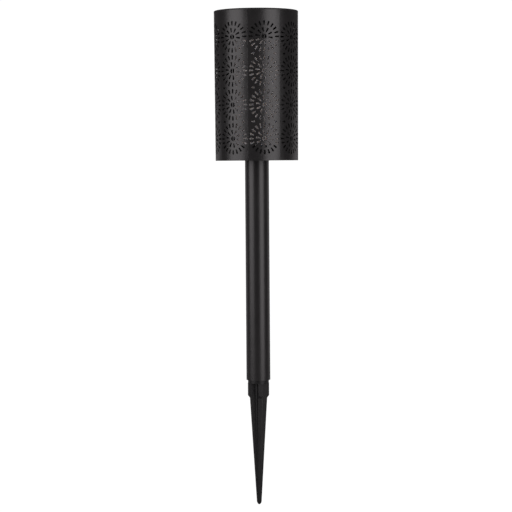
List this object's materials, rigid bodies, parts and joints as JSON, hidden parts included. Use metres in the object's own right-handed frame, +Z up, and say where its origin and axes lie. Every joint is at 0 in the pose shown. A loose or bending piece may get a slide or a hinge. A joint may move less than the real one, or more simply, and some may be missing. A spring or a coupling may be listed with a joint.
{
  "type": "solar garden torch",
  "caption": "Garden torch: a pierced round steel shade over a frosted light tube, with a solar cap, on a tube pole with a ribbed ground spike.",
  "frame": {"origin": "tip of the ground spike, on the pole's axis", "axes": "+Z up along the pole; -Y is the front, where one column of rosettes and one rib of the spike face"},
  "size_m": [0.112, 0.112, 0.6596],
  "materials": {
    "shade_coat": "satin black powder coat on rolled steel sheet",
    "pole_coat": "satin black powder coat on drawn steel tube",
    "spike_plastic": "matt black moulded plastic",
    "cap_plastic": "fine-textured black moulded plastic",
    "zinc_steel": "bright zinc plated steel",
    "seal_rubber": "soft black rubber",
    "panel_laminate": "dark circuit laminate",
    "silicon": "dark blue silicon with fine silver lines",
    "clear_resin": "clear cast resin",
    "board_laminate": "green circuit laminate",
    "chip_plastic": "moulded component bodies",
    "frosted_plastic": "frosted translucent plastic",
    "white_plastic": "white moulded plastic",
    "strip_film": "white flexible circuit film",
    "led_lens": "yellow light-emitter lens in a white housing",
    "wire_insulation": "red wire insulation",
    "battery_sleeve": "shrink-wrapped green sleeve",
    "contact_brass": "nickelled spring brass",
    "switch_plastic": "black switch plastic"
  },
  "bodies": {
    "spike": {"ground_spike": "spike_plastic"},
    "pole": {"pole_tube": "pole_coat"},
    "shade": {"pierced_shade": "shade_coat", "base_plate": "cap_plastic", "shade_brackets": "zinc_steel", "base_screws": "zinc_steel", "rubber_seat": "seal_rubber"},
    "solar_unit": {"solar_cap": "cap_plastic", "panel_board": "panel_laminate", "solar_wafers": "silicon", "panel_resin": "clear_resin", "housing_cover": "cap_plastic", "cover_screws": "zinc_steel", "control_board": "board_laminate", "board_parts": "chip_plastic", "board_screws": "zinc_steel", "diffuser_tube": "frosted_plastic", "tube_struts": "cap_plastic", "led_former": "white_plastic", "led_strip": "strip_film", "flame_leds": "led_lens", "battery_leads": "wire_insulation", "panel_leads": "wire_insulation", "battery_case": "cap_plastic", "case_floor": "cap_plastic", "floor_screws": "zinc_steel", "battery_door": "cap_plastic", "door_screw": "zinc_steel", "battery_cell": "battery_sleeve", "battery_contacts": "contact_brass", "switch_body": "switch_plastic"},
    "switch": {"switch_knob": "switch_plastic"}
  },
  "joints": [
    {"name": "pole_lift", "type": "slide", "parent": "spike", "child": "pole", "axis": [0, 0, 1], "range_m": [0, 0.045]},
    {"name": "shade_lift", "type": "slide", "parent": "pole", "child": "shade", "axis": [0, 0, 1], "range_m": [0, 0.045]},
    {"name": "unit_lift", "type": "slide", "parent": "shade", "child": "solar_unit", "axis": [0, 0, 1], "range_m": [0, 0.21]},
    {"name": "switch_slide", "type": "slide", "parent": "solar_unit", "child": "switch", "axis": [1, 0, 0], "range_m": [0, 0.002]}
  ]
}
